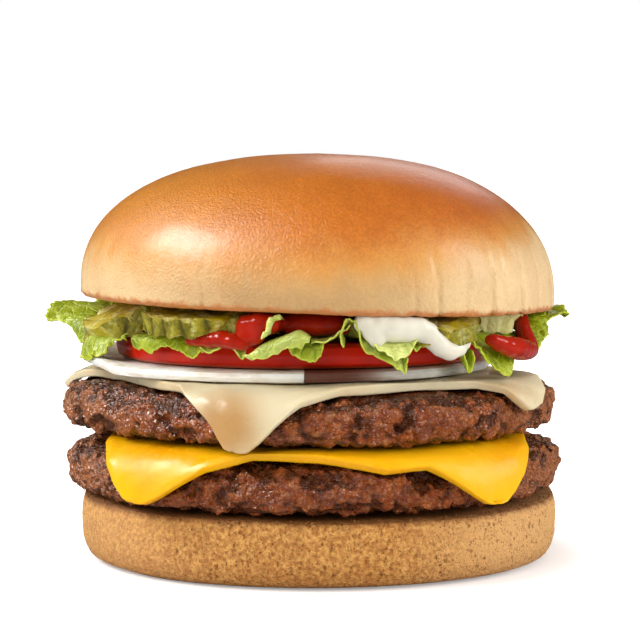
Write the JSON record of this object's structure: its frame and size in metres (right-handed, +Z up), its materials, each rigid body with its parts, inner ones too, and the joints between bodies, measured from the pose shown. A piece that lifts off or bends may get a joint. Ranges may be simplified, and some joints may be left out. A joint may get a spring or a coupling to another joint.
{
  "type": "double cheeseburger",
  "caption": "Double cheeseburger: glossy bun over pickles, sauces, lettuce, tomato and onion, with white and yellow cheese on thick beef patties.",
  "frame": {"origin": "centre of the heel's flat underside, where the burger stands", "axes": "+Z up through the layers, -Y towards the shown front, +X to the right of a person who looks at that front"},
  "size_m": [0.1171, 0.1104, 0.0891],
  "materials": {
    "bun": "satin, baked golden brown, glossy egg-washed top",
    "beef": "rough, moist, browned",
    "yellow_cheese": "smooth, glossy, slightly translucent",
    "white_cheese": "smooth, glossy, slightly translucent",
    "onion": "moist, translucent",
    "tomato": "glossy skin, moist flesh",
    "lettuce": "thin, slightly waxy leaf",
    "pickle": "wet, ridged",
    "ketchup": "wet, sharp highlights",
    "mayonnaise": "smooth, satin"
  },
  "bodies": {
    "root": {"bun_crown": "bun", "bun_heel": "bun", "cheese_white": "white_cheese", "cheese_yellow": "yellow_cheese", "ketchup": "ketchup", "ketchup_left": "ketchup", "ketchup_right": "ketchup", "lettuce_back": "lettuce", "lettuce_centre": "lettuce", "lettuce_front_left": "lettuce", "lettuce_front_right": "lettuce", "lettuce_left": "lettuce", "lettuce_left_back": "lettuce", "lettuce_right": "lettuce", "lettuce_right_front": "lettuce", "lettuce_right_side": "lettuce", "lettuce_small": "lettuce", "mayonnaise": "mayonnaise", "onion_left": "onion", "onion_right": "onion", "patty_lower": "beef", "patty_upper": "beef", "pickle_1": "pickle", "pickle_2": "pickle", "pickle_3": "pickle", "pickle_4": "pickle", "pickle_5": "pickle", "pickle_6": "pickle", "tomato_slice": "tomato"}
  },
  "joints": []
}
